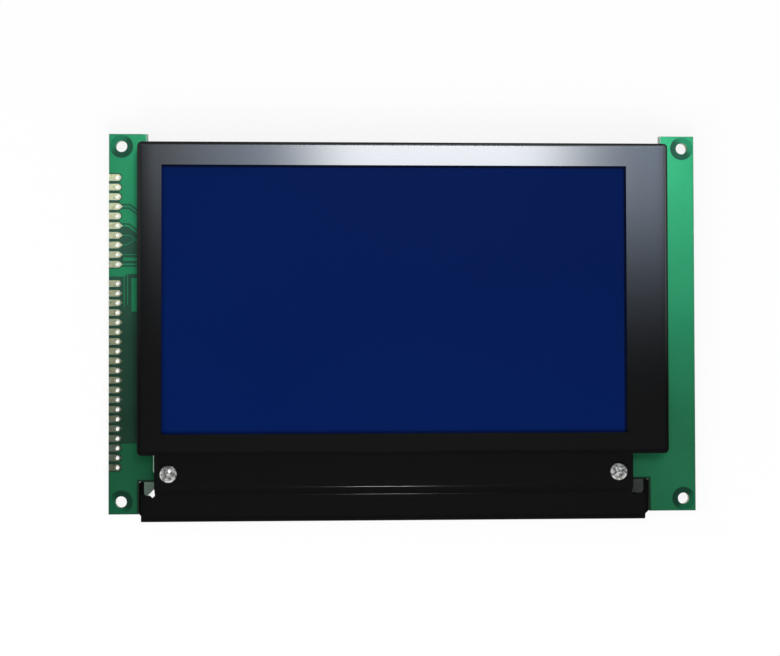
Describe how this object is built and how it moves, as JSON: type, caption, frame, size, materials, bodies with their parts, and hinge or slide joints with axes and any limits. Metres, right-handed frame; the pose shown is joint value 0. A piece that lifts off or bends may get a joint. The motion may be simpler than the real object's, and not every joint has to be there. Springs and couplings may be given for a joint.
{
  "type": "graphic lcd module",
  "caption": "Flat edge-lit graphic display module: black bezel and deep blue window on a green board with edge pads, corner mounting holes and a screwed-on lamp housing.",
  "frame": {"origin": "middle of the four mounting holes, on the back face of the circuit board", "axes": "+X along the display's rows, away from the terminal pads; +Y up the display, away from the lamp housing; +Z out of the display's face"},
  "size_m": [0.1554, 0.1017, 0.0116],
  "materials": {
    "board_laminate": "green solder resist over copper, satin to glossy",
    "pad_plating": "tinned copper, slightly dull",
    "bezel_sheet": "black, semi-gloss",
    "display_film": "smooth film, deep blue",
    "display_glass": "clear",
    "rear_film": "smooth grey film",
    "contact_elastomer": "soft, with fine conductive layers",
    "white_film": "matte white film",
    "clear_acrylic": "clear, polished edges",
    "white_moulding": "white moulded plastic",
    "strip_laminate": "white solder resist",
    "led_phosphor": "clear resin over phosphor",
    "housing_sheet": "black, semi-gloss",
    "screw_plating": "bright nickel plating",
    "epoxy": "black epoxy, self-levelled",
    "chip_body": "black moulding with tinned leads",
    "resistor_body": "black glaze with tinned ends",
    "capacitor_body": "tan ceramic with tinned ends"
  },
  "bodies": {
    "root": {"main_board": "board_laminate", "upper_terminal_pads": "pad_plating", "lower_terminal_pads": "pad_plating", "bezel": "bezel_sheet", "front_polarizer": "display_film", "front_glass": "display_glass", "rear_glass": "display_glass", "rear_polarizer": "rear_film", "column_contact_strip": "contact_elastomer", "row_contact_strip": "contact_elastomer", "diffuser_sheet": "white_film", "light_guide": "clear_acrylic", "reflector_sheet": "white_film", "backlight_frame": "white_moulding", "led_strip_board": "strip_laminate", "lamp_leds": "led_phosphor", "lamp_housing": "housing_sheet", "lamp_housing_screws": "screw_plating", "column_driver_left": "epoxy", "column_driver_middle": "epoxy", "column_driver_right": "epoxy", "row_driver_upper": "epoxy", "row_driver_lower": "epoxy", "display_controller": "epoxy", "memory_chip": "chip_body", "bias_amplifier": "chip_body", "chip_resistors": "resistor_body", "chip_capacitors": "capacitor_body"}
  },
  "joints": []
}
